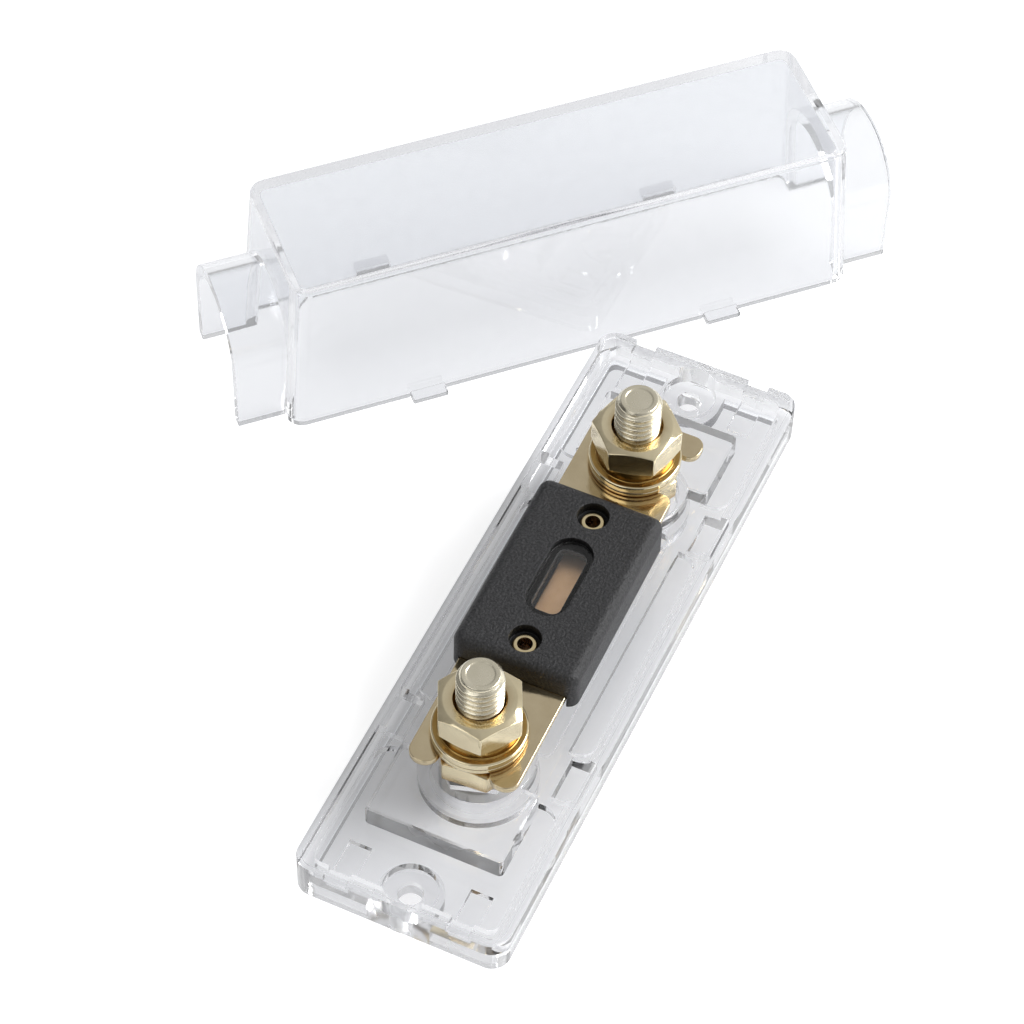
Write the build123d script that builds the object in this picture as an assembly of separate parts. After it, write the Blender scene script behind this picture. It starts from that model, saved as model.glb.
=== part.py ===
from build123d import *
import os
from math import cos, pi, radians, sin, sqrt, tan

# Bolt-down fuse holder: a clear tray with two M8 studs, a fuse clamped between them, and the clear
# cover, which is taken off and stands on its rim behind the tray.
# Millimetres. +X runs along the tray, +Y across it, +Z up. The origin is the middle of the underside.

# Driving dimensions

# Tray
tray_length = 123.6
tray_width = 37.2
tray_corner = 3.2
rim_height = 7.9
wall = 2.5
inner_corner = 1.6
lip_width = 0.9
lip_step = 0.4
edge_round = 0.4

floor_top = 5.0
floor_underside = 2.6
bridge_top = 6.5
bridge_outer = 33.8
bridge_inner = 22.6
pocket_corner = 3.2
trough_half_length = 25.0
rib_inner = 9.9
rib_outer = 12.2
trough_corner = 1.5

platform_top = 9.2
platform_mount_gap = 8.0
platform_corner = 0.8
platform_edge = 0.3
post_radius = 9.6
head_pocket_radius = 8.0
head_pocket_depth = 5.3
head_boss_radius = 10.0
hex_recess_depth = 2.0
hex_recess_flats = 13.2
hex_recess_turn = 168.0
bolt_hole_radius = 4.2

mount_end_distance = 5.6
mount_hole_radius = 2.15
mount_boss_radius = 5.5
mount_bore_radius = 4.6
mount_bore_depth = 1.6

latch_centre = 27.6
latch_length = 8.4
latch_inner = 13.3
latch_skin = 1.0
latch_floor = 4.0

leg_centre = 10.7
leg_room = 3.9
leg_notch_depth = 1.45
leg_groove_length = 7.1
leg_groove_depth = 1.0

# Studs and their hardware
stud_pitch = 61.9
thread_radius = 3.85
bolt_length = 26.2
bolt_end_chamfer = 1.0
bolt_end_inset = 0.75
bolt_dish_radius = 2.4
bolt_dish_depth = 0.15
bolt_head_radius = 6.5
bolt_head_height = 5.0
bolt_head_round = 0.6
driver_slot_width = 2.0
driver_slot_depth = 2.4
thread_gap = 0.06

nut_flats = 13.4
nut_chamfer = 0.74
nut_face_inset = 0.7
seat_nut_height = 4.5
seat_nut_turn = 154.0
top_nut_height = 8.8
left_nut_turn = 25.5
right_nut_turn = 45.7
flange_radius = 7.9
flange_edge = 1.2
flange_neck_top = 3.5
flange_neck_inset = 0.1
flange_hollow = 2.6
hexagon_root = 0.3
bore_flare = 0.45
washer_radius = 7.85
washer_thickness = 1.0
washer_bore_radius = 4.25
washer_edge = 0.12
seat_gap = 0.02

# Fuse
blade_thickness = 1.3
blade_half_width = 9.45
fork_tip = 39.7
fork_step = 0.7
hook_tip = 40.4
slot_half_width = 4.35
hook_slot_half_width = 4.5
tine_flat = 0.3
hook_overreach = 0.4
hook_flat = 0.75
hook_corner = 1.6
link_inset = 0.8
link_half_width = 2.4
link_round = 1.4

body_length = 37.4
skirt_thickness = 1.6
body_corner = 2.0
body_round = 1.9
body_top_height = 4.6
skirt_drop = 2.7
blade_side_gap = 0.1
chamber_overhang = 1.0
chamber_half_width = 6.2
chamber_height = 1.7
window_web = 2.7
window_width = 7.4
window_depth = 1.8
sill_at_ends = 1.8
sill_at_sides = 1.2
sight_corner = 1.5
pane_thickness = 0.8
pane_gap = 0.1

lower_shell_inset = 2.7
lower_shell_gap = 0.15
lower_shell_thickness = 2.2
lower_shell_corner = 1.0
lower_shell_bevel = 0.4

rivet_end_distance = 4.9
rivet_hole_radius = 1.6
rivet_bore_radius = 1.3
rivet_flange_radius = 2.1
rivet_flange_thickness = 0.45
rivet_recess_radius = 2.7
rivet_recess_depth = 2.0
rivet_rim_round = 0.36
rivet_gap = 0.05

# Place of the fuse on the studs, whose blade slots leave it some play
fuse_x = 0.0
fuse_y = 0.1
fuse_yaw = 0.6

# Cover
cover_length = 107.1
cover_width = 30.7
cover_height = 33.0
cover_end_draft = 3.8
cover_side_draft = 2.35
cover_wall = 1.8
cover_corner = 3.2
cover_inner_corner = 1.4
cover_top_round = 0.7

outlet_end = 62.0
outlet_half_width = 11.7
outlet_spring_height = 13.9
outlet_crown_height = 24.8
outlet_wall = 2.2

snap_centre = 28.0
snap_length = 6.4
snap_reach = 2.1
snap_thickness = 1.5
snap_slope = 0.42
snap_root = 0.6

# Place of the cover on the floor, beside the tray
cover_x = 71.17
cover_y = 34.64
cover_yaw = -44.87

# Heights that follow from the stack on each stud
bolt_seat_z = head_pocket_depth
seat_nut_z = platform_top
blade_z = seat_nut_z + seat_nut_height
blade_top_z = blade_z + blade_thickness
washer_z = blade_top_z + seat_gap
top_nut_z = washer_z + washer_thickness + seat_gap
body_top_z = blade_top_z + body_top_height
sight_z = blade_top_z + chamber_height
window_z = body_top_z - window_depth
stud_x = stud_pitch / 2

# Plan sizes of the fuse that follow from one another
body_width = 2 * (blade_half_width + blade_side_gap + skirt_thickness)
tine_round = (blade_half_width - slot_half_width - tine_flat) / 2
finger_x = stud_x + hook_slot_half_width
finger_round = (hook_tip - finger_x - hook_flat) / 2
hook_reach = blade_half_width + hook_overreach
rivet_x = body_length / 2 - rivet_end_distance
window_length = 2 * (rivet_x - rivet_recess_radius - window_web)
sight_length = window_length - 2 * sill_at_ends
sight_width = window_width - 2 * sill_at_sides
chamber_half_length = window_length / 2 + chamber_overhang
link_half_length = chamber_half_length - link_inset


def rounded_block(length, width, corner, bottom, top):
    """An upright block on the Z axis with rounded vertical edges."""
    plan = RectangleRounded(length, width, corner)
    return extrude(Pos(0, 0, bottom) * plan, top - bottom)


def block(x_low, x_high, y_low, y_high, z_low, z_high):
    """A box between two corners."""
    centre = Pos((x_low + x_high) / 2, (y_low + y_high) / 2, (z_low + z_high) / 2)
    return centre * Box(x_high - x_low, y_high - y_low, z_high - z_low)


def disc(radius, bottom, top, x=0.0, y=0.0):
    """An upright cylinder between two heights."""
    return Pos(x, y, (bottom + top) / 2) * Cylinder(radius, top - bottom)


def pocket(x_low, x_high, y_low, y_high, corner, z_low, z_high):
    """A pocket with rounded corners between two heights."""
    plan = RectangleRounded(x_high - x_low, y_high - y_low, corner)
    return extrude(Pos((x_low + x_high) / 2, (y_low + y_high) / 2, z_low) * plan, z_high - z_low)


def hexagon_prism(flats, turn, bottom, top):
    """A hexagonal prism with a corner turned so far from +X."""
    plan = RegularPolygon(flats / 2, 6, major_radius=False, rotation=turn)
    return extrude(Pos(0, 0, bottom) * plan, top - bottom)


def both_ends(shape):
    """The same detail at the -X and the +X end of the tray."""
    return [shape, Rot(0, 0, 180) * shape]


def both_sides(shape):
    """The same detail at the -Y and the +Y side."""
    return [shape, mirror(shape, about=Plane.XZ)]


# Tray

inner_x = tray_length / 2 - wall
inner_y = tray_width / 2 - wall
mount_x = tray_length / 2 - mount_end_distance
platform_outer = mount_x - platform_mount_gap


def tray_shell():
    """The outer block, hollow above the bridges and below the floor, with the step of its rim."""
    shell = rounded_block(tray_length, tray_width, tray_corner, 0, rim_height)
    shell = chamfer(shell.faces().sort_by(Axis.Z)[0].edges(), edge_round)
    shell -= rounded_block(2 * inner_x, 2 * inner_y, inner_corner, bridge_top, rim_height + 1)
    shell -= rounded_block(2 * inner_x, 2 * inner_y, inner_corner, -1, floor_underside)
    lip_length = tray_length - 2 * lip_width
    lip_span = tray_width - 2 * lip_width
    shell -= rounded_block(lip_length, lip_span, tray_corner - lip_width, rim_height - lip_step,
                           rim_height + 1)
    return shell


def end_pocket():
    """The floor round the platform and the mounting hole at the +X end."""
    near_part = pocket(bridge_outer, inner_x, -inner_y, inner_y, pocket_corner, floor_top, rim_height)
    far_part = pocket(mount_x - mount_bore_radius, inner_x, -inner_y, inner_y, inner_corner, floor_top,
                      rim_height)
    return near_part + far_part


def side_pocket():
    """The long pocket between the -Y rim and the rib beside the fuse."""
    room = pocket(-bridge_inner, bridge_inner, -inner_y, inner_y, pocket_corner, floor_top, rim_height)
    return room & block(-bridge_inner, bridge_inner, -inner_y, -rib_outer, floor_top, rim_height)


def trough():
    """The pocket under the fuse, between the two ribs."""
    return pocket(-trough_half_length, trough_half_length, -rib_inner, rib_inner, trough_corner, floor_top,
                  rim_height)


def platform():
    """The raised platform and the round post of the +X stud."""
    plate = pocket(bridge_outer, platform_outer, -rib_outer, rib_outer, platform_corner, floor_underside,
                   platform_top)
    whole = plate + disc(post_radius, floor_underside, platform_top, stud_x)
    return chamfer(whole.faces().sort_by(Axis.Z)[-1].edges(), platform_edge)


def stud_boss():
    """The ring that stands below the floor round the head of the +X bolt."""
    return disc(head_boss_radius, 0, bridge_top, stud_x)


def stud_opening():
    """The head pocket, the hexagonal recess and the through hole of the +X stud."""
    opening = disc(head_pocket_radius, -1, bolt_seat_z, stud_x)
    opening += disc(bolt_hole_radius, 0, platform_top, stud_x)
    recess = hexagon_prism(hex_recess_flats, hex_recess_turn, platform_top - hex_recess_depth,
                           platform_top + 1)
    return opening + Pos(stud_x, 0, 0) * recess


def mount_boss():
    """The boss below the floor round the +X mounting hole, grown onto the end wall."""
    boss = disc(mount_boss_radius, 0, floor_top, mount_x)
    return boss + block(mount_x, inner_x + wall / 2, -mount_boss_radius, mount_boss_radius, 0, floor_top)


def mount_hole():
    """The stepped +X mounting hole."""
    hole = disc(mount_hole_radius, -1, floor_top + 1, mount_x)
    return hole + disc(mount_bore_radius, floor_top - mount_bore_depth, rim_height + 1, mount_x)


def latch_slot():
    """One slot in the +Y rim that takes a snap tab and the cover's wall beside it."""
    x_low = latch_centre - latch_length / 2
    x_high = latch_centre + latch_length / 2
    return block(x_low, x_high, latch_inner, tray_width / 2 - latch_skin, latch_floor, rim_height + 1)


def leg_room_cuts():
    """The notch in the +X end wall and the groove in the floor for a leg of the cable outlet."""
    y_low = leg_centre - leg_room / 2
    y_high = leg_centre + leg_room / 2
    notch = block(inner_x - 1, tray_length / 2 + 1, y_low, y_high, rim_height - leg_notch_depth,
                  rim_height + 1)
    groove = block(inner_x - leg_groove_length, inner_x, y_low, y_high, floor_top - leg_groove_depth,
                   floor_top + 1)
    return notch + groove


def base_tray():
    tray = tray_shell()
    for growth in both_ends(stud_boss()) + both_ends(mount_boss()):
        tray += growth
    for cut in both_ends(end_pocket()) + both_sides(side_pocket()) + [trough()]:
        tray -= cut
    for growth in both_ends(platform()):
        tray += growth
    for cut in both_ends(stud_opening()) + both_ends(mount_hole()):
        tray -= cut
    for detail in (latch_slot(), leg_room_cuts()):
        for side in both_sides(detail):
            for cut in both_ends(side):
                tray -= cut
    return tray


# Studs and their hardware


def stud_bolt():
    """A cheese head bolt on the Z axis that stands up through the tray, its head in the pocket below."""
    top = bolt_seat_z + bolt_length
    profile = Polygon((0, bolt_seat_z), (thread_radius, bolt_seat_z), (thread_radius, top - bolt_end_chamfer),
                      (thread_radius - bolt_end_inset, top), (bolt_dish_radius, top),
                      (bolt_dish_radius - bolt_dish_depth, top - bolt_dish_depth),
                      (0, top - bolt_dish_depth), align=None)
    shank = revolve(Plane.XZ * profile, Axis.Z)
    head = disc(bolt_head_radius, bolt_seat_z - bolt_head_height, bolt_seat_z)
    head = fillet(head.edges().sort_by(Axis.Z)[0], bolt_head_round)
    slot_z = bolt_seat_z - bolt_head_height
    across = bolt_head_radius + 1
    slot = block(-across, across, -driver_slot_width / 2, driver_slot_width / 2, slot_z - 1,
                 slot_z + driver_slot_depth)
    return head + shank - slot


def chamfered_hexagon(turn, bottom, top, chamfer_bottom):
    """A hexagon whose corners are turned off at the top, and also below when asked."""
    corner = nut_flats / sqrt(3)
    face = nut_flats / 2 - nut_face_inset
    low = face if chamfer_bottom else corner
    profile = Polygon((0, bottom), (low, bottom), (corner, bottom + nut_chamfer), (corner, top - nut_chamfer),
                      (face, top), (0, top), align=None)
    return hexagon_prism(nut_flats, turn, bottom, top) & revolve(Plane.XZ * profile, Axis.Z)


def threaded_opening(bottom, top):
    """The nut's bore with the countersink at each mouth."""
    radius = thread_radius + thread_gap
    profile = Polygon((0, bottom), (radius + bore_flare, bottom), (radius, bottom + bore_flare),
                      (radius, top - bore_flare), (radius + bore_flare, top), (0, top), align=None)
    return revolve(Plane.XZ * profile, Axis.Z)


def seat_nut():
    """The thin nut that stands on the platform over the hexagonal recess and carries the blade."""
    top = seat_nut_z + seat_nut_height
    return chamfered_hexagon(seat_nut_turn, seat_nut_z, top, False) - threaded_opening(seat_nut_z, top)


def washer():
    ring = disc(washer_radius, washer_z, washer_z + washer_thickness)
    ring = chamfer(ring.edges(), washer_edge)
    return ring - disc(washer_bore_radius, washer_z - 1, washer_z + washer_thickness + 1)


def top_nut(turn):
    """A flange nut, turned so far: a round flange, a hollow neck and a hexagon above it."""
    rim = top_nut_z + flange_edge
    neck = top_nut_z + flange_neck_top
    neck_radius = nut_flats / 2 - flange_neck_inset
    outline = Polyline((0, top_nut_z), (flange_radius, top_nut_z), (flange_radius, rim))
    hollow = RadiusArc((flange_radius, rim), (neck_radius, neck), -flange_hollow)
    closing = Polyline((neck_radius, neck), (0, neck), (0, top_nut_z))
    flange = revolve(Plane.XZ * make_face(outline + hollow + closing), Axis.Z)
    top = top_nut_z + top_nut_height
    hexagon = chamfered_hexagon(turn, neck - hexagon_root, top, True)
    return flange + hexagon - threaded_opening(top_nut_z, top)


# Fuse


def link_outline():
    """The plan of the stamped strip: a forked blade, the narrow link and a hooked blade."""
    plan = Pos((hook_tip - fork_tip) / 2, 0) * Rectangle(fork_tip + hook_tip, 2 * blade_half_width)
    waist_y = (blade_half_width + link_half_width) / 2
    for side in (-1, 1):
        window = RectangleRounded(2 * link_half_length, blade_half_width - link_half_width + 2, link_round)
        plan -= Pos(0, side * (waist_y + 1)) * window
    return plan


def fork_slot():
    """The open-ended slot of the -X blade."""
    length = fork_tip - stud_x + 1
    throat = Pos(-stud_x - length / 2, 0) * Rectangle(length, 2 * slot_half_width)
    return throat + Pos(-stud_x, 0) * Circle(slot_half_width)


def hook_slot():
    """The slot of the +X blade, which opens to the -Y side."""
    length = blade_half_width + 1
    throat = Pos(stud_x, -length / 2) * Rectangle(2 * hook_slot_half_width, length)
    return throat + Pos(stud_x, 0) * Circle(hook_slot_half_width)


def fuse_element():
    plan = link_outline() - fork_slot() - hook_slot()
    mouth_x = stud_x - hook_slot_half_width
    plan += Pos((finger_x + hook_tip) / 2, -hook_reach / 2) * Rectangle(hook_tip - finger_x, hook_reach)
    plan -= Pos(-fork_tip, -blade_half_width / 2 - 1) * Rectangle(2 * fork_step, blade_half_width + 2)
    for x_rivet in (-rivet_x, rivet_x):
        plan -= Pos(x_rivet, 0) * Circle(rivet_hole_radius + rivet_gap)
    tips = [v for v in plan.vertices() if v.X < -finger_x and abs(v.Y) > slot_half_width - 0.01]
    tips += [v for v in plan.vertices() if v.X > finger_x and v.Y > 0]
    plan = fillet(tips, tine_round)
    finger = [v for v in plan.vertices() if v.X > finger_x - 0.01 and v.Y < -slot_half_width]
    plan = fillet(finger, finger_round)
    mouth = [v for v in plan.vertices() if abs(v.X - mouth_x) < 0.01 and v.Y < -slot_half_width]
    plan = fillet(mouth, hook_corner)
    return extrude(Pos(0, 0, blade_z) * plan, blade_thickness)


def fuse_upper_shell():
    """The moulding above the blades, with its skirt, window recess and rivet recesses."""
    shell = rounded_block(body_length, body_width, body_corner, blade_top_z - skirt_drop, body_top_z)
    shell = fillet(shell.faces().sort_by(Axis.Z)[-1].edges(), body_round)
    blade_room = 2 * (blade_half_width + blade_side_gap)
    shell -= block(-body_length, body_length, -blade_room / 2, blade_room / 2, 0, blade_top_z)
    shell -= rounded_block(2 * chamber_half_length, 2 * chamber_half_width, sight_corner, blade_top_z - 1,
                           sight_z)
    shell -= rounded_block(sight_length, sight_width, sight_corner, blade_top_z, body_top_z)
    shell -= extrude(Pos(0, 0, window_z) * SlotOverall(window_length, window_width), window_depth + 1)
    for x_rivet in (-rivet_x, rivet_x):
        shell -= disc(rivet_hole_radius + rivet_gap, blade_top_z - 1, body_top_z, x_rivet)
        shell -= disc(rivet_recess_radius, body_top_z - rivet_recess_depth, body_top_z + 1, x_rivet)
    return shell


def fuse_lower_shell():
    """The flat moulding under the blades, between the skirts of the upper one."""
    length = body_length - 2 * lower_shell_inset
    width = 2 * (blade_half_width + blade_side_gap - lower_shell_gap)
    shell = rounded_block(length, width, lower_shell_corner, blade_z - lower_shell_thickness, blade_z)
    shell = chamfer(shell.faces().sort_by(Axis.Z)[0].edges(), lower_shell_bevel)
    room = link_half_width + 2
    shell -= rounded_block(2 * link_half_length, 2 * room, sight_corner,
                           blade_z - lower_shell_thickness / 2, blade_z + 1)
    for x_rivet in (-rivet_x, rivet_x):
        shell -= disc(rivet_hole_radius + rivet_gap, 0, blade_z + 1, x_rivet)
    return shell


def fuse_window():
    """The clear pane that lies on the step of the window."""
    plan = SlotOverall(window_length - 2 * pane_gap, window_width - 2 * pane_gap)
    return extrude(Pos(0, 0, window_z) * plan, pane_thickness)


def rivet(x_rivet):
    """A tubular rivet with a rolled rim at each end."""
    upper_seat = body_top_z - rivet_recess_depth
    lower_seat = blade_z - lower_shell_thickness
    top = upper_seat + rivet_flange_thickness
    bottom = lower_seat - rivet_flange_thickness
    upper_rim = disc(rivet_flange_radius, upper_seat, top)
    upper_rim = fillet(upper_rim.edges().sort_by(Axis.Z)[-1], rivet_rim_round)
    lower_rim = disc(rivet_flange_radius, bottom, lower_seat)
    lower_rim = fillet(lower_rim.edges().sort_by(Axis.Z)[0], rivet_rim_round)
    tube = disc(rivet_hole_radius, bottom + rivet_flange_thickness / 2, top - rivet_flange_thickness / 2)
    return Pos(x_rivet, 0, 0) * (tube + upper_rim + lower_rim - disc(rivet_bore_radius, bottom - 1, top + 1))


# Cover, drawn on the origin with its rim on the floor, then carried to its place


def arch(half_width, spring, crown):
    """The outline of a cable outlet in the YZ plane: two legs and a half ellipse."""
    left_leg = Line((-half_width, spring), (-half_width, 0))
    vault = EllipticalCenterArc((0, spring), half_width, crown - spring, 0, arc_size=180)
    right_leg = Line((half_width, spring), (half_width, 0))
    sill = Line((-half_width, 0), (half_width, 0))
    return Plane.YZ * make_face(left_leg + vault + right_leg + sill)


def drafted_box(length, width, height, corner):
    """An upright block that narrows towards its top, more at its ends than at its sides."""
    end_in = length / 2 - height * tan(radians(cover_end_draft))
    side_in = width / 2 - height * tan(radians(cover_side_draft))
    front = Polygon((-length / 2, 0), (length / 2, 0), (end_in, height), (-end_in, height), align=None)
    side = Polygon((-width / 2, 0), (width / 2, 0), (side_in, height), (-side_in, height), align=None)
    whole = extrude(Plane.XZ * front, width, both=True) & extrude(Plane.YZ * side, length, both=True)
    uprights = [edge for edge in whole.edges() if abs((edge @ 1).Z - (edge @ 0).Z) > height / 2]
    return fillet(uprights, corner)


def snap_tab():
    """One tab on the -Y rim: flat above and sloped below."""
    y_side = cover_width / 2
    y_tip = y_side + snap_reach
    profile = Polygon((snap_root - y_side, 0), (snap_slope - y_tip, 0), (-y_tip, snap_thickness / 2),
                      (-y_tip, snap_thickness), (snap_root - y_side, snap_thickness), align=None)
    return Pos(snap_centre, 0, 0) * extrude(Plane.YZ * profile, snap_length / 2, both=True)


def cover():
    inner_drop = 2 * cover_wall
    shell = drafted_box(cover_length, cover_width, cover_height, cover_corner)
    shell = fillet(shell.faces().sort_by(Axis.Z)[-1].edges(), cover_top_round)
    outlet = extrude(arch(outlet_half_width, outlet_spring_height, outlet_crown_height), outlet_end,
                     both=True)
    shell += outlet
    inside = drafted_box(cover_length - inner_drop, cover_width - inner_drop, cover_height - cover_wall,
                         cover_inner_corner)
    way = extrude(arch(outlet_half_width - outlet_wall, outlet_spring_height,
                       outlet_crown_height - outlet_wall),
                  outlet_end + 1, both=True)
    shell -= inside
    shell -= way
    for tab in both_sides(snap_tab()):
        for copy in both_ends(tab):
            shell += copy
    return Pos(cover_x, cover_y, 0) * Rot(0, 0, cover_yaw) * shell


def at_stud(shape, side):
    """Carries hardware drawn on the Z axis to the left (-1) or right (+1) stud."""
    return Pos(side * stud_x, 0, 0) * shape


def in_fuse_place(shape):
    """Carries the fuse, drawn on the Z axis, to where it lies on the studs."""
    return Pos(fuse_x, fuse_y, 0) * Rot(0, 0, fuse_yaw) * shape


parts = {
    "base_tray": base_tray(),
    "cover": cover(),
    "fuse_element": in_fuse_place(fuse_element()),
    "fuse_upper_shell": in_fuse_place(fuse_upper_shell()),
    "fuse_lower_shell": in_fuse_place(fuse_lower_shell()),
    "fuse_window": in_fuse_place(fuse_window()),
    "left_rivet": in_fuse_place(rivet(-rivet_x)),
    "right_rivet": in_fuse_place(rivet(rivet_x)),
}
for name, side, turn in (("left", -1, left_nut_turn), ("right", 1, right_nut_turn)):
    parts[name + "_stud"] = at_stud(stud_bolt(), side)
    parts[name + "_seat_nut"] = at_stud(seat_nut(), side)
    parts[name + "_washer"] = at_stud(washer(), side)
    parts[name + "_nut"] = at_stud(top_nut(turn), side)

os.makedirs("parts", exist_ok=True)
for name, solid in parts.items():
    export_step(solid, "parts/" + name + ".step")
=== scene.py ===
from math import atan2, cos, pi, radians, sin, sqrt, tan

import bmesh
import bpy
from mathutils import Matrix, Vector


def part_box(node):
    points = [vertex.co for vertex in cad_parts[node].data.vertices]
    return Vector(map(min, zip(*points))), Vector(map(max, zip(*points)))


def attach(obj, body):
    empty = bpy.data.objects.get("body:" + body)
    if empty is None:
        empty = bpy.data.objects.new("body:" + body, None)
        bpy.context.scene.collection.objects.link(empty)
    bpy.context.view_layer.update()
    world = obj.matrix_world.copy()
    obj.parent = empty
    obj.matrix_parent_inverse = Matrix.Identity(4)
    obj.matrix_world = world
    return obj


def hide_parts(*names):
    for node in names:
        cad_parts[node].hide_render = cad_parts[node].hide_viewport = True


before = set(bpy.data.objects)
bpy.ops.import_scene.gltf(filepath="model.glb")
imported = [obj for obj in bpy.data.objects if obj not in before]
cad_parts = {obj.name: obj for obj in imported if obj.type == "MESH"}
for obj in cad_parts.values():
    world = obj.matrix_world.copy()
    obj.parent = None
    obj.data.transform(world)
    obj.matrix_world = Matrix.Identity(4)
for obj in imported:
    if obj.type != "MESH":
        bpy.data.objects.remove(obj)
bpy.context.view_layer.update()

MM = 0.001


def corners(node):
    """The lower and the upper corner of a CAD node, in millimetres."""
    low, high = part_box(node)
    return [c / MM for c in low], [c / MM for c in high]


# Sizes in millimetres, from the frame where a node shows them
STUD_LOW, STUD_HIGH = corners("right_stud")
STUD_X = (STUD_LOW[0] + STUD_HIGH[0]) / 2
BOLT_TOP_Z = STUD_HIGH[2]
BOLT_SEAT_Z = 5.3
BOLT_END_CHAMFER = 1.0
BOLT_END_RADIUS = 3.1
BOLT_DISH_RADIUS = 2.4
BOLT_DISH_DEPTH = 0.15
SHANK_RING_STEP = 0.085
SHANK_POINTS_ROUND = 72
THREAD_PITCH = 1.25
THREAD_CREST = 3.93
THREAD_ROOT = 3.3
THREAD_CREST_HALF = 0.08
THREAD_FLANK = 0.30
THREAD_EASE = 0.4
LEFT_THREAD_START = 0.15
RIGHT_THREAD_START = 0.4
SEAT_NUT_Z = corners("right_seat_nut")[0][2]
SEAT_NUT_HEIGHT = corners("right_seat_nut")[1][2] - SEAT_NUT_Z
SEAT_NUT_TURN = 154.0
WASHER_Z = corners("right_washer")[0][2]
WASHER_RADIUS = (corners("right_washer")[1][1] - corners("right_washer")[0][1]) / 2
WASHER_THICKNESS = 1.0
WASHER_BORE = 4.25
TOP_NUT_Z = corners("right_nut")[0][2]
TOP_NUT_HEIGHT = corners("right_nut")[1][2] - TOP_NUT_Z
FLANGE_RADIUS = 7.9
FLANGE_EDGE = 1.3
FLANGE_NECK_INSET = 0.16
NUT_FLATS = 13.4
NUT_FACE = NUT_FLATS / 2 - 0.7
NUT_BORE = 3.99
NUT_BORE_FLARE = 0.4
NUT_FLARE_DEPTH = 0.45
NUT_CORNER_ROUND = 0.35
NUT_CHAMFER = 0.74
LEFT_NUT_TURN = 25.5
RIGHT_NUT_TURN = 45.7


# Materials

# Painted shade at grazing angles on the clear plastic, standing in for dark refractions at its edges.
GRAZING_PAINTED_SHADE = (0.66, 0.67, 0.69)
SHADOW_TINT = (0.93, 0.93, 0.935)
LONG_PATH = 4
RECESS_SHUT = 0.3


def new_material(name):
    material = bpy.data.materials.new(name)
    material.use_nodes = True
    tree = material.node_tree
    shader = tree.nodes["Principled BSDF"]
    return material, tree, shader


def add_noise(tree, scale, detail=2.0, roughness=0.5):
    """Noise in object space; scale is in features per metre."""
    coord = tree.nodes.new("ShaderNodeTexCoord")
    noise = tree.nodes.new("ShaderNodeTexNoise")
    noise.inputs["Scale"].default_value = scale
    noise.inputs["Detail"].default_value = detail
    noise.inputs["Roughness"].default_value = roughness
    tree.links.new(coord.outputs["Object"], noise.inputs["Vector"])
    return noise.outputs["Fac"]


def combine(tree, operation, first, second):
    """A math node on two values, each a socket or a float."""
    node = tree.nodes.new("ShaderNodeMath")
    node.operation = operation
    for socket, value in zip(node.inputs, (first, second)):
        if isinstance(value, float):
            socket.default_value = value
        else:
            tree.links.new(value, socket)
    return node.outputs[0]


def remap(tree, value, low, high, from_low=0.3, from_high=0.7):
    node = tree.nodes.new("ShaderNodeMapRange")
    node.inputs["From Min"].default_value = from_low
    node.inputs["From Max"].default_value = from_high
    node.inputs["To Min"].default_value = low
    node.inputs["To Max"].default_value = high
    tree.links.new(value, node.inputs["Value"])
    return node.outputs["Result"]


def ramp(tree, value, stops):
    node = tree.nodes.new("ShaderNodeValToRGB")
    ends = node.color_ramp.elements
    ends[0].position, ends[0].color = stops[0][0], (*stops[0][1], 1.0)
    ends[1].position, ends[1].color = stops[-1][0], (*stops[-1][1], 1.0)
    for position, color in stops[1:-1]:
        ends.new(position).color = (*color, 1.0)
    tree.links.new(value, node.inputs["Fac"])
    return node.outputs["Color"]


def add_bump(tree, shader, heights):
    """Adds up (value, depth in millimetres) pairs into one bump."""
    normal = None
    for value, depth in heights:
        bump = tree.nodes.new("ShaderNodeBump")
        bump.inputs["Strength"].default_value = 1.0
        bump.inputs["Distance"].default_value = depth * MM
        tree.links.new(value, bump.inputs["Height"])
        if normal is not None:
            tree.links.new(normal, bump.inputs["Normal"])
        normal = bump.outputs["Normal"]
    tree.links.new(normal, shader.inputs["Normal"])


def painted_recess_shade(tree, color, shade_tone, reach, shut, open_to):
    """Paints shade: turns a colour to a darker one where other surfaces stand within reach millimetres.

    Below the openness shut the painted shade colour shows alone, and above open_to the first one does.
    """
    occlusion = tree.nodes.new("ShaderNodeAmbientOcclusion")
    occlusion.samples = 8
    occlusion.inputs["Distance"].default_value = reach * MM
    mix = tree.nodes.new("ShaderNodeMix")
    mix.data_type = "RGBA"
    tree.links.new(remap(tree, occlusion.outputs["AO"], 0.0, 1.0, shut, open_to), mix.inputs["Factor"])
    mix.inputs["A"].default_value = (*shade_tone, 1.0)
    tree.links.new(color, mix.inputs["B"])
    return mix.outputs["Result"]


def metal(name, tones, roughness, grain, shade_tone, reach=3.0, open_to=0.72, metallic=1.0):
    """Plated or bare metal with cloudy tones and painted shade in its recesses; grain is its scale and its
    depth in millimetres.
    """
    dark, light = tones
    grain_scale, grain_depth = grain
    material, tree, shader = new_material(name)
    shader.inputs["Metallic"].default_value = metallic
    cloud = add_noise(tree, 260.0, 3.0)
    color = ramp(tree, cloud, [(0.3, dark), (0.7, light)])
    tree.links.new(painted_recess_shade(tree, color, shade_tone, reach, RECESS_SHUT, open_to), shader.inputs["Base Color"])
    wear = add_noise(tree, 900.0, 3.0, 0.6)
    tree.links.new(remap(tree, wear, roughness * 0.75, roughness * 1.3), shader.inputs["Roughness"])
    add_bump(tree, shader, [(add_noise(tree, grain_scale, 3.0, 0.6), grain_depth)])
    return material


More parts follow.
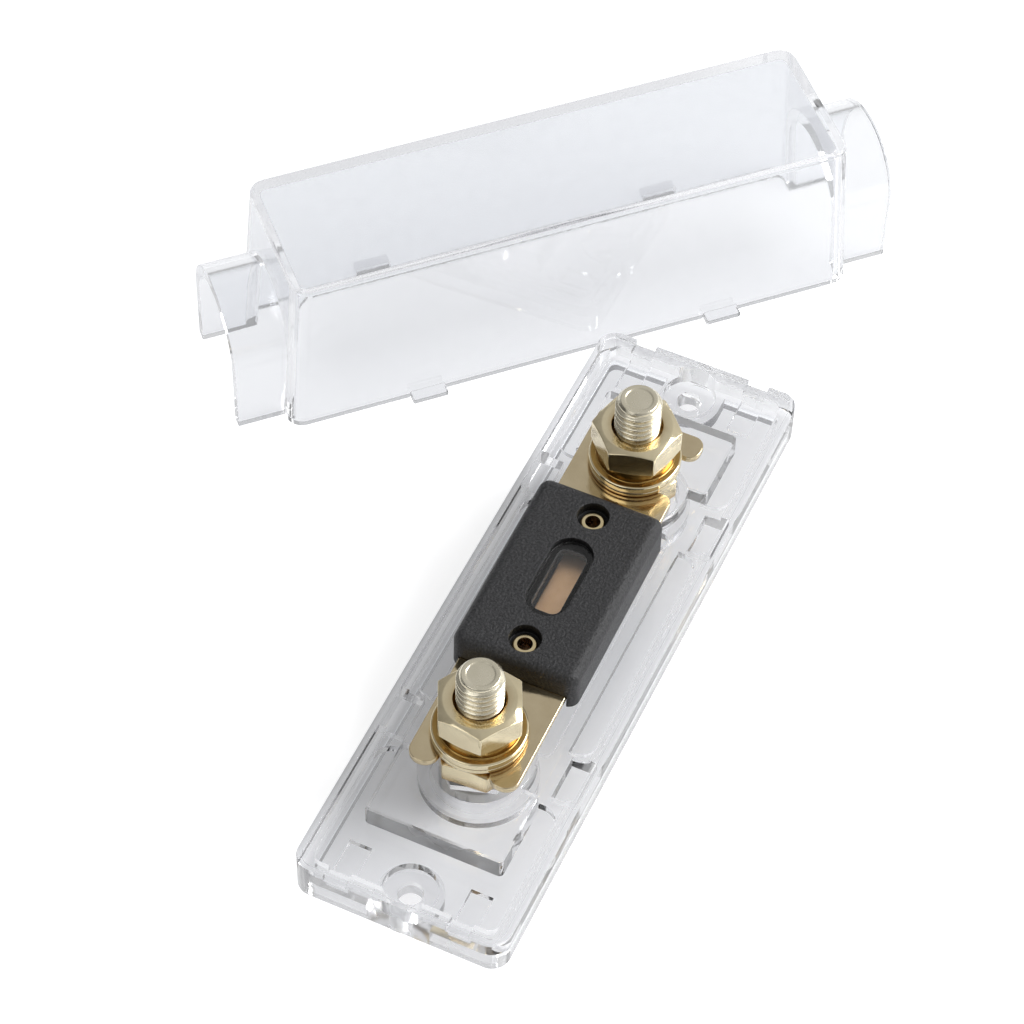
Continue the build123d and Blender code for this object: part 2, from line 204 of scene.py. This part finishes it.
def clear_plastic(name, tint, roughness, ripple, cloudy=0.0):
    """Clear moulded plastic with faint flow ripples, ripple millimetres deep.

    Shadows, diffuse rays and long light-guide paths go straight through it. Cloudy is the share of
    light that it scatters instead of letting it through.
    """
    material, tree, shader = new_material(name)
    shader.inputs["Transmission Weight"].default_value = 1.0 - cloudy
    shader.inputs["IOR"].default_value = 1.49
    tint = tuple(c * (1.0 - cloudy * 0.75) for c in tint)
    speck = add_noise(tree, 420.0, 4.0, 0.6)
    color = ramp(tree, speck, [(0.25, tint), (0.6, tuple(min(1.0, c + 0.02) for c in tint))])
    # Painted shade: the tint turns greyer towards grazing angles, standing in for dark refractions at the
    # edges.
    edge = tree.nodes.new("ShaderNodeLayerWeight")
    edge.inputs["Blend"].default_value = 0.5
    grazing_shade = tree.nodes.new("ShaderNodeMix")
    grazing_shade.data_type = "RGBA"
    grazing_shade.blend_type = "MULTIPLY"
    tree.links.new(remap(tree, edge.outputs["Facing"], 0.0, 1.0, 0.6, 0.98), grazing_shade.inputs["Factor"])
    tree.links.new(color, grazing_shade.inputs["A"])
    grazing_shade.inputs["B"].default_value = (*GRAZING_PAINTED_SHADE, 1.0)
    tree.links.new(grazing_shade.outputs["Result"], shader.inputs["Base Color"])
    haze = add_noise(tree, 150.0, 2.0)
    tree.links.new(remap(tree, haze, roughness * 0.6, roughness * 1.5), shader.inputs["Roughness"])
    flow = add_noise(tree, 55.0, 2.0, 0.5)
    fine = add_noise(tree, 700.0, 2.0, 0.5)
    add_bump(tree, shader, [(flow, ripple), (fine, ripple * 0.06)])
    path = tree.nodes.new("ShaderNodeLightPath")
    clear = tree.nodes.new("ShaderNodeBsdfTransparent")
    clear.inputs["Color"].default_value = (*SHADOW_TINT, 1.0)
    unseen = combine(tree, "MAXIMUM", path.outputs["Is Shadow Ray"], path.outputs["Is Diffuse Ray"])
    long_path = combine(tree, "GREATER_THAN", path.outputs["Ray Depth"], LONG_PATH - 0.5)
    mix = tree.nodes.new("ShaderNodeMixShader")
    tree.links.new(combine(tree, "MAXIMUM", unseen, long_path), mix.inputs["Fac"])
    tree.links.new(shader.outputs["BSDF"], mix.inputs[1])
    tree.links.new(clear.outputs["BSDF"], mix.inputs[2])
    tree.links.new(mix.outputs["Shader"], tree.nodes["Material Output"].inputs["Surface"])
    return material


def black_plastic():
    material, tree, shader = new_material("black_plastic")
    grain = add_noise(tree, 2400.0, 2.0, 0.7)
    shade = ramp(tree, grain, [(0.36, (0.014, 0.014, 0.015)), (0.5, (0.026, 0.026, 0.028)),
                               (0.66, (0.05, 0.05, 0.052))])
    # Painted shade: the plastic turns nearly black where other surfaces stand within 8 mm.
    base = painted_recess_shade(tree, shade, (0.001, 0.001, 0.001), 8.0, 0.35, 0.9)
    tree.links.new(base, shader.inputs["Base Color"])
    tree.links.new(remap(tree, grain, 0.36, 0.6), shader.inputs["Roughness"])
    shader.inputs["IOR"].default_value = 1.5
    shader.inputs["Specular IOR Level"].default_value = 0.42
    add_bump(tree, shader, [(grain, 0.22), (add_noise(tree, 1300.0, 2.0), 0.08)])
    return material


# Metals: the dark and the light tone, roughness, grain, the painted shade tone in recesses
FINE_GRAIN = (5200.0, 0.006)
PLAIN_GRAIN = (5200.0, 0.01)
GOLD = metal("gold_plate", ((0.80, 0.69, 0.46), (0.91, 0.80, 0.55)), 0.11, FINE_GRAIN,
             (0.34, 0.18, 0.03), reach=2.8, open_to=0.93)
# A darker amber copy of the gold for a flange nut's neck: painted shade and painted reflection of the
# hexagon.
NECK_PAINTED_SHADE = metal("gold_plate_neck_painted_shade", ((0.44, 0.27, 0.08), (0.60, 0.40, 0.14)), 0.16, FINE_GRAIN,
                   (0.22, 0.11, 0.02), reach=2.8, open_to=0.93)
STUD_PLATE = metal("pale_plate", ((0.80, 0.74, 0.58), (0.88, 0.82, 0.66)), 0.24, PLAIN_GRAIN,
                   (0.50, 0.38, 0.18), reach=1.5)
# A greyer, duller copy of the stud plate for the head under the tray: painted shade.
HEAD_PAINTED_SHADE = metal("stud_head_painted_shade", ((0.60, 0.60, 0.60), (0.70, 0.70, 0.69)), 0.45, PLAIN_GRAIN,
                   (0.56, 0.56, 0.56), metallic=0.2)
GOLD_FLAT = metal("gold_plate_sheet", ((0.66, 0.545, 0.35), (0.74, 0.625, 0.415)), 0.13, (2600.0, 0.006),
                  (0.55, 0.36, 0.12), reach=1.2)
RIVET_PLATE = metal("gold_plate_rivet", ((0.82, 0.68, 0.40), (0.90, 0.77, 0.50)), 0.16, FINE_GRAIN,
                    (0.4, 0.25, 0.08))
# A dark copy of the rivet gold for the bores: painted shade.
RIVET_BORE_SHADE = metal("rivet_bore_painted_shade", ((0.40, 0.23, 0.09), (0.52, 0.32, 0.13)), 0.3, PLAIN_GRAIN,
                   (0.12, 0.06, 0.02))
COPPER = metal("bare_copper_link", ((0.60, 0.385, 0.215), (0.68, 0.455, 0.27)), 0.42, (4200.0, 0.02),
               (0.55, 0.36, 0.23))
BLACK = black_plastic()

# Clear plastics: tint, roughness, depth of the ripples
CLEAR_TRAY = clear_plastic("clear_plastic_tray", (0.95, 0.957, 0.97), 0.04, 0.03)
CLEAR_COVER = clear_plastic("clear_plastic_cover", (0.905, 0.915, 0.932), 0.05, 0.05)
HAZY_TRAY = clear_plastic("clear_plastic_tray_end", (0.90, 0.907, 0.92), 0.2, 0.06, cloudy=0.12)
# The faces of the step across the tray: mostly cloudy grey plastic as a painted shade band.
SHADED_TRAY = clear_plastic("clear_plastic_tray_step_painted_shade", (0.93, 0.937, 0.95), 0.2, 0.06, cloudy=0.75)
PANE = clear_plastic("clear_window_pane", (0.95, 0.95, 0.95), 0.05, 0.02)


# Mesh helpers

MERGE_DISTANCE = 2e-6
FLAT_ANGLE = 0.6
SHARP_ANGLE = 35.0


def link_object(name, data):
    piece = bpy.data.objects.new(name, data)
    bpy.context.scene.collection.objects.link(piece)
    return piece


def settle(piece):
    """Bakes the modifiers with weighted normals, so flat faces stay flat beside rounded edges."""
    piece.data.polygons.foreach_set("use_smooth", [True] * len(piece.data.polygons))
    weighted = piece.modifiers.new("weighted", "WEIGHTED_NORMAL")
    weighted.keep_sharp = True
    weighted.weight = 80
    bpy.context.view_layer.update()
    depsgraph = bpy.context.evaluated_depsgraph_get()
    mesh = bpy.data.meshes.new_from_object(piece.evaluated_get(depsgraph))
    piece.modifiers.clear()
    old = piece.data
    piece.data = mesh
    mesh.name = piece.name
    bpy.data.meshes.remove(old)
    return piece


def rounded_copy(node, name, width):
    """A copy of a CAD node's form with its sharp edges eased by width millimetres."""
    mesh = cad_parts[node].data.copy()
    work = bmesh.new()
    work.from_mesh(mesh)
    bmesh.ops.remove_doubles(work, verts=work.verts, dist=MERGE_DISTANCE)
    bmesh.ops.dissolve_limit(work, angle_limit=radians(FLAT_ANGLE), verts=work.verts, edges=work.edges)
    work.to_mesh(mesh)
    work.free()
    mesh.materials.clear()
    piece = link_object(name, mesh)
    bevel = piece.modifiers.new("ease", "BEVEL")
    bevel.width = width * MM
    bevel.segments = 2
    bevel.limit_method = "ANGLE"
    bevel.angle_limit = radians(SHARP_ANGLE)
    bevel.use_clamp_overlap = True
    bevel.miter_outer = "MITER_ARC"
    return settle(piece)


def rounded_profile(points):
    """Rounds the corners of a closed profile of (r, z, radius) points, each in three steps."""
    steps = 3
    made = []
    count = len(points)
    for i, (r, z, radius) in enumerate(points):
        corner = Vector((r, z))
        before = Vector(points[i - 1][:2]) - corner
        after = Vector(points[(i + 1) % count][:2]) - corner
        if radius <= 0 or before.length < 1e-6 or after.length < 1e-6:
            made += [corner.copy()] * (steps + 1)
            continue
        turn = pi - before.angle(after)
        reach = min(radius * tan(turn / 2), 0.45 * before.length, 0.45 * after.length)
        start = corner + before.normalized() * reach
        end = corner + after.normalized() * reach
        for k in range(steps + 1):
            t = k / steps
            made.append((1 - t) ** 2 * start + 2 * t * (1 - t) * corner + t ** 2 * end)
    return made


def swept_ring(name, profile_at, angles):
    """A closed ring whose section may change with the angle."""
    rows = [profile_at(angle) for angle in angles]
    width = len(rows[0])
    vertices = []
    for angle, row in zip(angles, rows):
        vertices += [(p.x * cos(angle) * MM, p.x * sin(angle) * MM, p.y * MM) for p in row]
    faces = []
    for i in range(len(rows)):
        j = (i + 1) % len(rows)
        for k in range(width):
            m = (k + 1) % width
            faces.append((i * width + k, j * width + k, j * width + m, i * width + m))
    mesh = bpy.data.meshes.new(name)
    mesh.from_pydata(vertices, [], faces)
    work = bmesh.new()
    work.from_mesh(mesh)
    bmesh.ops.remove_doubles(work, verts=work.verts, dist=1e-7)
    bmesh.ops.recalc_face_normals(work, faces=work.faces)
    work.to_mesh(mesh)
    work.free()
    return link_object(name, mesh)


def even_angles(count):
    return [2 * pi * i / count for i in range(count)]


def hexagon_angles():
    """Angles round a hexagon, close together at its corners."""
    offsets = (-3.6, -2.4, -1.6, -0.8, 0.0, 0.8, 1.6, 2.4, 3.6,
               8.0, 13.0, 18.0, 24.0, 30.0, 36.0, 42.0, 47.0, 52.0)
    return [radians(60 * i + offset) for i in range(6) for offset in offsets]


def hexagon_radius(angle):
    """Distance to a nut's hexagon, with rounded corners at 0, 60, 120 ... degrees."""
    inradius = NUT_FLATS / 2
    from_corner = (angle + pi / 6) % (pi / 3) - pi / 6
    centre = (inradius - NUT_CORNER_ROUND) / cos(pi / 6)
    tangent = atan2(NUT_CORNER_ROUND * 0.5, centre + NUT_CORNER_ROUND * cos(pi / 6))
    if abs(from_corner) < tangent:
        across = centre * sin(from_corner)
        return centre * cos(from_corner) + sqrt(NUT_CORNER_ROUND ** 2 - across ** 2)
    return inradius / cos(pi / 6 - abs(from_corner))


def place(piece, x, turn, z):
    """Carries a piece drawn on the Z axis to its place and leaves its object at the origin."""
    piece.data.transform(Matrix.Translation((x * MM, 0, z * MM)) @ Matrix.Rotation(radians(turn), 4, "Z"))


def set_material(piece, material):
    piece.data.materials.clear()
    piece.data.materials.append(material)


def finish_piece(piece, material, body, slot, *nodes):
    """Gives a piece its look and its body, in place of the CAD nodes that it stands for. Its slot is not
    used.
    """
    set_material(piece, material)
    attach(piece, body)
    if nodes:
        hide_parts(*nodes)


def paint_faces(piece, material, chosen):
    """Gives the faces of a piece that chosen(face) picks one more material."""
    piece.data.materials.append(material)
    last = len(piece.data.materials) - 1
    for face in piece.data.polygons:
        if chosen(face):
            face.material_index = last


# Hardware

CHAMFER_SLOPE = NUT_CHAMFER / (NUT_FLATS / sqrt(3) - NUT_FACE)
# Bounds of the painted shade on a flange nut's neck, in millimetres.
NECK_LOW, NECK_HIGH = 1.25, 3.35
NECK_INNER, NECK_OUTER = 5.0, FLANGE_RADIUS - 0.45


def flange_nut_profile(angle):
    side = hexagon_radius(angle)
    rise = (side - NUT_FACE) * CHAMFER_SLOPE
    top = TOP_NUT_HEIGHT
    flare = NUT_BORE + NUT_BORE_FLARE
    neck = NUT_FLATS / 2 - FLANGE_NECK_INSET
    under = (neck - NUT_FACE) * CHAMFER_SLOPE
    points = [
        (NUT_BORE, NUT_FLARE_DEPTH, 0.1), (flare, 0.0, 0.1),
        (FLANGE_RADIUS, 0.0, 0.25), (FLANGE_RADIUS, FLANGE_EDGE, 0.35),
        (neck + 0.16, 1.45, 0.3), (neck, 3.22 + under, 0.05), (neck + 0.1, 3.3 + under, 0.02),
        (side, 3.2 + rise, 0.2), (side, top - rise, 0.22),
        (NUT_FACE, top, 0.6), (flare, top, 0.12), (NUT_BORE, top - NUT_FLARE_DEPTH, 0.1),
    ]
    return rounded_profile(points)


def seat_nut_profile(angle):
    side = hexagon_radius(angle)
    rise = (side - NUT_FACE) * CHAMFER_SLOPE
    top = SEAT_NUT_HEIGHT
    flare = NUT_BORE + NUT_BORE_FLARE
    points = [
        (NUT_BORE, NUT_FLARE_DEPTH, 0.1), (flare, 0.0, 0.1), (side, 0.0, 0.12), (side, top - rise, 0.25),
        (NUT_FACE, top, 0.2), (flare, top, 0.1), (NUT_BORE, top - NUT_FLARE_DEPTH, 0.1),
    ]
    return rounded_profile(points)


def washer_profile(angle):
    return rounded_profile([(WASHER_BORE, 0.0, 0.12), (WASHER_RADIUS, 0.0, 0.25),
                            (WASHER_RADIUS, WASHER_THICKNESS, 0.3), (WASHER_BORE, WASHER_THICKNESS, 0.15)])


def thread_radius_at(phase):
    """ISO thread form with eased crest and root; phase runs from 0 to 1 over a pitch."""
    from_crest = abs((phase + 0.5) % 1.0 - 0.5)
    share = min(1.0, max(0.0, (from_crest - THREAD_CREST_HALF) / THREAD_FLANK))
    eased = share * share * (3 - 2 * share) * THREAD_EASE + share * (1 - THREAD_EASE)
    return THREAD_CREST + (THREAD_ROOT - THREAD_CREST) * eased


def threaded_shank(name, thread_start):
    """The shank with a true right-hand thread and a chamfered, dished end."""
    low, high = BOLT_SEAT_Z - 0.3, BOLT_TOP_Z
    rings = int((high - low) / SHANK_RING_STEP)
    around = SHANK_POINTS_ROUND
    cone = (THREAD_CREST - BOLT_END_RADIUS) / BOLT_END_CHAMFER
    vertices = []
    for i in range(rings + 1):
        z = low + (high - low) * i / rings
        limit = THREAD_CREST - max(0.0, z - (high - BOLT_END_CHAMFER)) * cone
        for k in range(around):
            angle = 2 * pi * k / around
            radius = min(limit, thread_radius_at(z / THREAD_PITCH - angle / (2 * pi) + thread_start))
            vertices.append((radius * cos(angle) * MM, radius * sin(angle) * MM, z * MM))
    faces = []
    for i in range(rings):
        for k in range(around):
            m = (k + 1) % around
            faces.append((i * around + k, i * around + m, (i + 1) * around + m, (i + 1) * around + k))
    inner = len(vertices)
    top = rings * around
    dish = ((BOLT_END_RADIUS - 0.12, 0.0), (BOLT_DISH_RADIUS + 0.1, 0.0), (BOLT_DISH_RADIUS - 0.02, -0.03),
            (BOLT_DISH_RADIUS - 0.14, -0.13), (BOLT_DISH_RADIUS - 0.26, -BOLT_DISH_DEPTH))
    for radius, drop in dish:
        for k in range(around):
            angle = 2 * pi * k / around
            vertices.append((radius * cos(angle) * MM, radius * sin(angle) * MM, (high + drop) * MM))
    for ring in range(len(dish)):
        start = top if ring == 0 else inner + (ring - 1) * around
        after = inner + ring * around
        for k in range(around):
            m = (k + 1) % around
            faces.append((start + k, start + m, after + m, after + k))
    last = inner + (len(dish) - 1) * around
    faces.append([last + k for k in range(around)])
    faces.append([around - 1 - k for k in range(around)])
    mesh = bpy.data.meshes.new(name)
    mesh.from_pydata(vertices, [], faces)
    return mesh


def build_stud(side_name, side, thread_start):
    """The cheese head from the solid, with the true thread in place of the plain shank.

    What stands under the seat nut gets a duller, greyer copy of the plate as painted shade, for it lies in
    shade under the tray.
    """
    node = side_name + "_stud"
    work = bmesh.new()
    work.from_mesh(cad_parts[node].data)
    bmesh.ops.remove_doubles(work, verts=work.verts, dist=MERGE_DISTANCE)
    geometry = work.verts[:] + work.edges[:] + work.faces[:]
    cut = bmesh.ops.bisect_plane(work, geom=geometry, plane_co=(0, 0, (BOLT_SEAT_Z + 0.1) * MM),
                                 plane_no=(0, 0, 1), clear_outer=True)
    rim = [e for e in cut["geom_cut"] if isinstance(e, bmesh.types.BMEdge)]
    bmesh.ops.contextual_create(work, geom=rim)
    shank = threaded_shank(node + "_shank", thread_start)
    shank.transform(Matrix.Translation((side * STUD_X * MM, 0, 0)))
    work.from_mesh(shank)
    bpy.data.meshes.remove(shank)
    mesh = bpy.data.meshes.new(node + "_threaded")
    work.to_mesh(mesh)
    work.free()
    piece = settle(link_object(node + "_threaded", mesh))
    finish_piece(piece, STUD_PLATE, "holder", "gold_plate", node)
    # Painted shade on the head under the seat nut.
    paint_faces(piece, HEAD_PAINTED_SHADE, lambda face: face.center.z < (SEAT_NUT_Z - 0.1) * MM)


def at_neck(face, x):
    """True for the slope and the neck between a flange nut's rim and its hexagon."""
    height = face.center.z / MM - TOP_NUT_Z
    radius = sqrt((face.center.x / MM - x) ** 2 + (face.center.y / MM) ** 2)
    return NECK_LOW < height < NECK_HIGH and NECK_INNER < radius < NECK_OUTER


def build_fittings(side_name, side, nut_turn, thread_start):
    x = side * STUD_X
    build_stud(side_name, side, thread_start)
    nut = settle(swept_ring(side_name + "_flange_nut", flange_nut_profile, hexagon_angles()))
    place(nut, x, nut_turn, TOP_NUT_Z)
    finish_piece(nut, GOLD, side_name + "_nut", "gold_plate", side_name + "_nut")
    # Painted shade and painted reflection: the neck and slope get the darker amber copy of the gold.
    paint_faces(nut, NECK_PAINTED_SHADE, lambda face: at_neck(face, x))
    seat = settle(swept_ring(side_name + "_seat_nut_rounded", seat_nut_profile, hexagon_angles()))
    place(seat, x, SEAT_NUT_TURN, SEAT_NUT_Z)
    finish_piece(seat, GOLD, "holder", "gold_plate", side_name + "_seat_nut")
    washer = settle(swept_ring(side_name + "_washer_rounded", washer_profile, even_angles(96)))
    place(washer, x, 0.0, WASHER_Z)
    finish_piece(washer, GOLD, side_name + "_washer", "gold_plate", side_name + "_washer")


build_fittings("left", -1, LEFT_NUT_TURN, LEFT_THREAD_START)
build_fittings("right", 1, RIGHT_NUT_TURN, RIGHT_THREAD_START)


# Fuse

LINK_HALF_LENGTH = 9.0
BORE_NEAR = 0.4


def split_across(piece, *places):
    """Cuts the faces of a piece along planes across X, so that a material can end there."""
    work = bmesh.new()
    work.from_mesh(piece.data)
    for x in places:
        geometry = work.verts[:] + work.edges[:] + work.faces[:]
        bmesh.ops.bisect_plane(work, geom=geometry, plane_co=(x * MM, 0, 0), plane_no=(1, 0, 0))
    work.to_mesh(piece.data)
    work.free()


def in_bore(face, low, high):
    """True for an upright face of a rivet's bore, which looks at the middle of the rivet's box."""
    middle = (low + high) / 2
    inward = face.normal.x * (middle.x - face.center.x) + face.normal.y * (middle.y - face.center.y)
    return inward > BORE_NEAR * MM and abs(face.normal.z) < 0.2


element = rounded_copy("fuse_element", "fuse_element_rounded", 0.18)
finish_piece(element, GOLD_FLAT, "holder", "gold_plate", "fuse_element")
split_across(element, -LINK_HALF_LENGTH, LINK_HALF_LENGTH)
paint_faces(element, COPPER, lambda face: abs(face.center.x) < LINK_HALF_LENGTH * MM)
for node in ("fuse_upper_shell", "fuse_lower_shell"):
    finish_piece(rounded_copy(node, node + "_rounded", 0.14), BLACK, "holder", "black_plastic", node)
for node in ("left_rivet", "right_rivet"):
    corner_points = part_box(node)
    set_material(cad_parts[node], RIVET_PLATE)
    # Painted shade in the rivet bores.
    paint_faces(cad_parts[node], RIVET_BORE_SHADE, lambda face: in_bore(face, *corner_points))
set_material(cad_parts["fuse_window"], PANE)


# Tray and cover

TRAY_END = 60.5
# Where the painted shade band on the tray's step lies, in millimetres.
STEP_NEAR, STEP_FAR = 47.6, 48.8
STEP_FOOT = 3.0


def distance_along(face):
    """How far a face that looks along X lies from the middle, in millimetres; 0 for any other face."""
    return abs(face.center.x) / MM if abs(face.normal.x) > 0.9 else 0.0


tray = rounded_copy("base_tray", "base_tray_rounded", 0.22)
finish_piece(tray, CLEAR_TRAY, "holder", "clear_plastic", "base_tray")
paint_faces(tray, HAZY_TRAY, lambda face: distance_along(face) > TRAY_END)
# Painted shade band on the faces of the tray's step.
paint_faces(tray, SHADED_TRAY, lambda face: (STEP_NEAR < distance_along(face) < STEP_FAR
                                             and face.center.z > STEP_FOOT * MM))
finish_piece(rounded_copy("cover", "cover_rounded", 0.3), CLEAR_COVER, "cover", "clear_plastic", "cover")


# Stage

# The floor that each piece covers, where a painted shadow takes part of the lift off: half its sizes, the
# fade to its edge and the share of the lift taken off
TRAY_HALF = (61.0, 18.0)
TRAY_FADE = 1.0
TRAY_SHADE = 0.62
COVER_TURN = -44.87
COVER_HALF = (53.0, 15.0)
COVER_FADE = 14.0
COVER_SHADE = 0.55

FLOOR_REACH = 4.0
FLOOR_DROP = -0.00006
FLOOR_COLOR = (0.86, 0.865, 0.875)
LIFT_SEEN = 0.55
LIFT_THROUGH = 0.2

# The world: the bright side, its levels against the dot product with it, and what plastic passes on
BRIGHT_SIDE = (0.62, -0.55, 0.56)
DARK_LEVEL, BRIGHT_LEVEL = 0.08, 0.62
THROUGH_MORE = 0.18
THROUGH_LEAST = 0.45

LAMP_AIM = (0.02, 0.01, 0.01)

CAMERA_AZIMUTH, CAMERA_ELEVATION, CAMERA_ROLL = radians(-66.61), radians(52.16), radians(1.89)
CAMERA_DISTANCE = 0.61605
CAMERA_TARGET = Vector((0.02267, 0.01878, 0.0))
CAMERA_LENS = 125.16


def covered_by(tree, node, turn, half_sizes, fade):
    """Up to 1 where the floor lies under a turned CAD node, fading to 0 at its edge over fade mm."""
    coord = tree.nodes.new("ShaderNodeTexCoord")
    low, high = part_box(node)
    centre = (low + high) / 2
    place_on = tree.nodes.new("ShaderNodeMapping")
    place_on.vector_type = "TEXTURE"
    place_on.inputs["Location"].default_value = (centre.x, centre.y, 0.0)
    place_on.inputs["Rotation"].default_value = (0.0, 0.0, radians(turn))
    tree.links.new(coord.outputs["Object"], place_on.inputs["Vector"])
    apart = tree.nodes.new("ShaderNodeSeparateXYZ")
    tree.links.new(place_on.outputs["Vector"], apart.inputs["Vector"])
    inside = []
    for axis, half in zip(("X", "Y"), half_sizes):
        size = combine(tree, "ABSOLUTE", apart.outputs[axis], 0.0)
        inside.append(remap(tree, size, 1.0, 0.0, (half - fade) * MM, half * MM))
    return combine(tree, "MULTIPLY", *inside)


def build_floor():
    """Pale paper; it is lifted to white where it is seen directly, and less through the plastic, and a
    painted shadow takes part of the lift off under the tray and the cover.
    """
    mesh = bpy.data.meshes.new("floor")
    signs = ((-1, -1), (1, -1), (1, 1), (-1, 1))
    mesh.from_pydata([(x * FLOOR_REACH, y * FLOOR_REACH, FLOOR_DROP) for x, y in signs], [], [(0, 1, 2, 3)])
    floor = link_object("floor", mesh)
    material, tree, shader = new_material("floor_paper")
    shader.inputs["Base Color"].default_value = (*FLOOR_COLOR, 1.0)
    shader.inputs["Roughness"].default_value = 0.9
    shader.inputs["Specular IOR Level"].default_value = 0.1
    path = tree.nodes.new("ShaderNodeLightPath")
    tray_mask = covered_by(tree, "base_tray", 0.0, TRAY_HALF, TRAY_FADE)
    cover_mask = covered_by(tree, "cover", COVER_TURN, COVER_HALF, COVER_FADE)
    # Painted shadow on the floor under the tray and the cover.
    under_tray = combine(tree, "MULTIPLY", tray_mask, TRAY_SHADE)
    under_cover = combine(tree, "MULTIPLY", cover_mask, COVER_SHADE)
    open_floor = combine(tree, "SUBTRACT", 1.0, combine(tree, "MAXIMUM", under_tray, under_cover))
    seen = combine(tree, "MULTIPLY", path.outputs["Is Camera Ray"], LIFT_SEEN)
    bent = combine(tree, "MAXIMUM", path.outputs["Is Transmission Ray"], path.outputs["Is Glossy Ray"])
    through = combine(tree, "MULTIPLY", bent, LIFT_THROUGH)
    strength = combine(tree, "MULTIPLY", combine(tree, "MAXIMUM", seen, through), open_floor)
    lift = tree.nodes.new("ShaderNodeEmission")
    tree.links.new(strength, lift.inputs["Strength"])
    total = tree.nodes.new("ShaderNodeAddShader")
    tree.links.new(shader.outputs["BSDF"], total.inputs[0])
    tree.links.new(lift.outputs["Emission"], total.inputs[1])
    tree.links.new(total.outputs["Shader"], tree.nodes["Material Output"].inputs["Surface"])
    mesh.materials.append(material)


def build_world():
    """White to the camera; a gradient with a bright side for all other rays, more so through plastic."""
    world = bpy.data.worlds.new("studio")
    bpy.context.scene.world = world
    world.use_nodes = True
    tree = world.node_tree
    background = tree.nodes["Background"]
    background.inputs["Color"].default_value = (1.0, 1.0, 1.0, 1.0)
    coord = tree.nodes.new("ShaderNodeTexCoord")
    facing = tree.nodes.new("ShaderNodeVectorMath")
    facing.operation = "DOT_PRODUCT"
    facing.inputs[1].default_value = BRIGHT_SIDE
    tree.links.new(coord.outputs["Generated"], facing.inputs[0])
    level = remap(tree, facing.outputs["Value"], DARK_LEVEL, BRIGHT_LEVEL, -0.6, 0.95)
    path = tree.nodes.new("ShaderNodeLightPath")
    mix = tree.nodes.new("ShaderNodeMix")
    mix.data_type = "FLOAT"
    tree.links.new(path.outputs["Is Camera Ray"], mix.inputs["Factor"])
    more = combine(tree, "MULTIPLY", path.outputs["Is Transmission Ray"], THROUGH_MORE)
    least = combine(tree, "MULTIPLY", path.outputs["Is Transmission Ray"], THROUGH_LEAST)
    tree.links.new(combine(tree, "MAXIMUM", combine(tree, "ADD", level, more), least), mix.inputs["A"])
    mix.inputs["B"].default_value = 1.0
    tree.links.new(mix.outputs["Result"], background.inputs["Strength"])


def area_light(name, place_at, size, power):
    data = bpy.data.lights.new(name, "AREA")
    data.shape = "RECTANGLE"
    data.size, data.size_y = size
    data.energy = power
    lamp = link_object(name, data)
    lamp.location = place_at
    lamp.rotation_euler = (Vector(LAMP_AIM) - Vector(place_at)).to_track_quat("-Z", "Y").to_euler()


def build_camera():
    """Looks at the target from the side that the photo was taken from."""
    azimuth, elevation, roll = CAMERA_AZIMUTH, CAMERA_ELEVATION, CAMERA_ROLL
    back = Vector((sin(azimuth) * cos(elevation), -cos(azimuth) * cos(elevation), sin(elevation)))
    level = Vector((cos(azimuth), sin(azimuth), 0.0))
    upright = level.cross(-back)
    right = level * cos(roll) + upright * sin(roll)
    up = upright * cos(roll) - level * sin(roll)
    data = bpy.data.cameras.new("camera")
    data.lens = CAMERA_LENS
    data.sensor_width = 36.0
    data.clip_start = 0.01
    data.clip_end = 50.0
    camera = link_object("camera", data)
    matrix = Matrix((right, up, back)).transposed().to_4x4()
    matrix.translation = CAMERA_TARGET + back * CAMERA_DISTANCE
    camera.matrix_world = matrix
    bpy.context.scene.camera = camera


build_floor()
build_world()
area_light("key_softbox", (0.55, -0.95, 0.85), (0.8, 0.6), 17.0)
area_light("fill_softbox", (-0.9, 0.4, 1.0), (0.9, 0.9), 2.8)
build_camera()
bpy.context.scene.view_settings.view_transform = "Standard"
